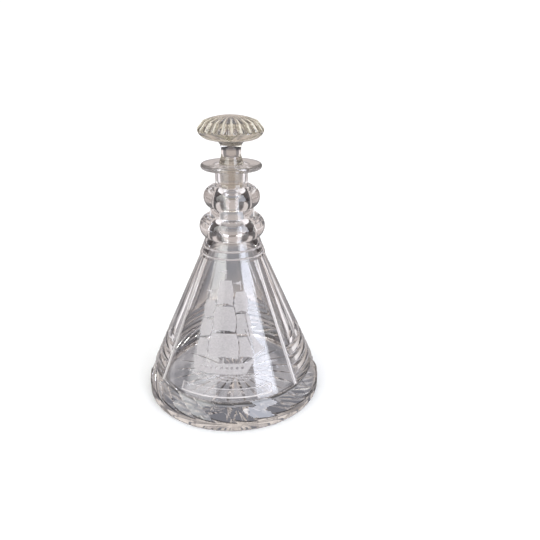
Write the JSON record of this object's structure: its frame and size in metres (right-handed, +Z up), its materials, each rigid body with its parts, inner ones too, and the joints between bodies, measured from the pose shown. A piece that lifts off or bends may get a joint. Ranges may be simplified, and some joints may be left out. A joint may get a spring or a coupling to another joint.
{
  "type": "ships decanter",
  "caption": "Broad-based cut-glass decanter with fluted sloping sides, a plain front panel, applied neck rings and a fluted mushroom stopper, for keeping and pouring wine or spirits.",
  "frame": {"origin": "middle of the standing face, on the decanter's axis", "axes": "+Z up along the axis towards the stopper, -Y towards the plain front panel, +X to the right of someone facing that panel"},
  "size_m": [0.1674, 0.1674, 0.26],
  "materials": {
    "bottle_glass": "clear polished lead glass, faintly grey",
    "ring_glass": "clear polished lead glass, faintly grey",
    "stopper_glass": "clear polished lead glass, faintly straw"
  },
  "bodies": {
    "decanter": {"bottle": "bottle_glass", "upper_neck_ring": "ring_glass", "lower_neck_ring": "ring_glass"},
    "stopper": {"stopper": "stopper_glass"}
  },
  "joints": [
    {"name": "stopper_lift", "type": "slide", "parent": "decanter", "child": "stopper", "axis": [0, 0, 1], "range_m": [0, 0.06]}
  ]
}
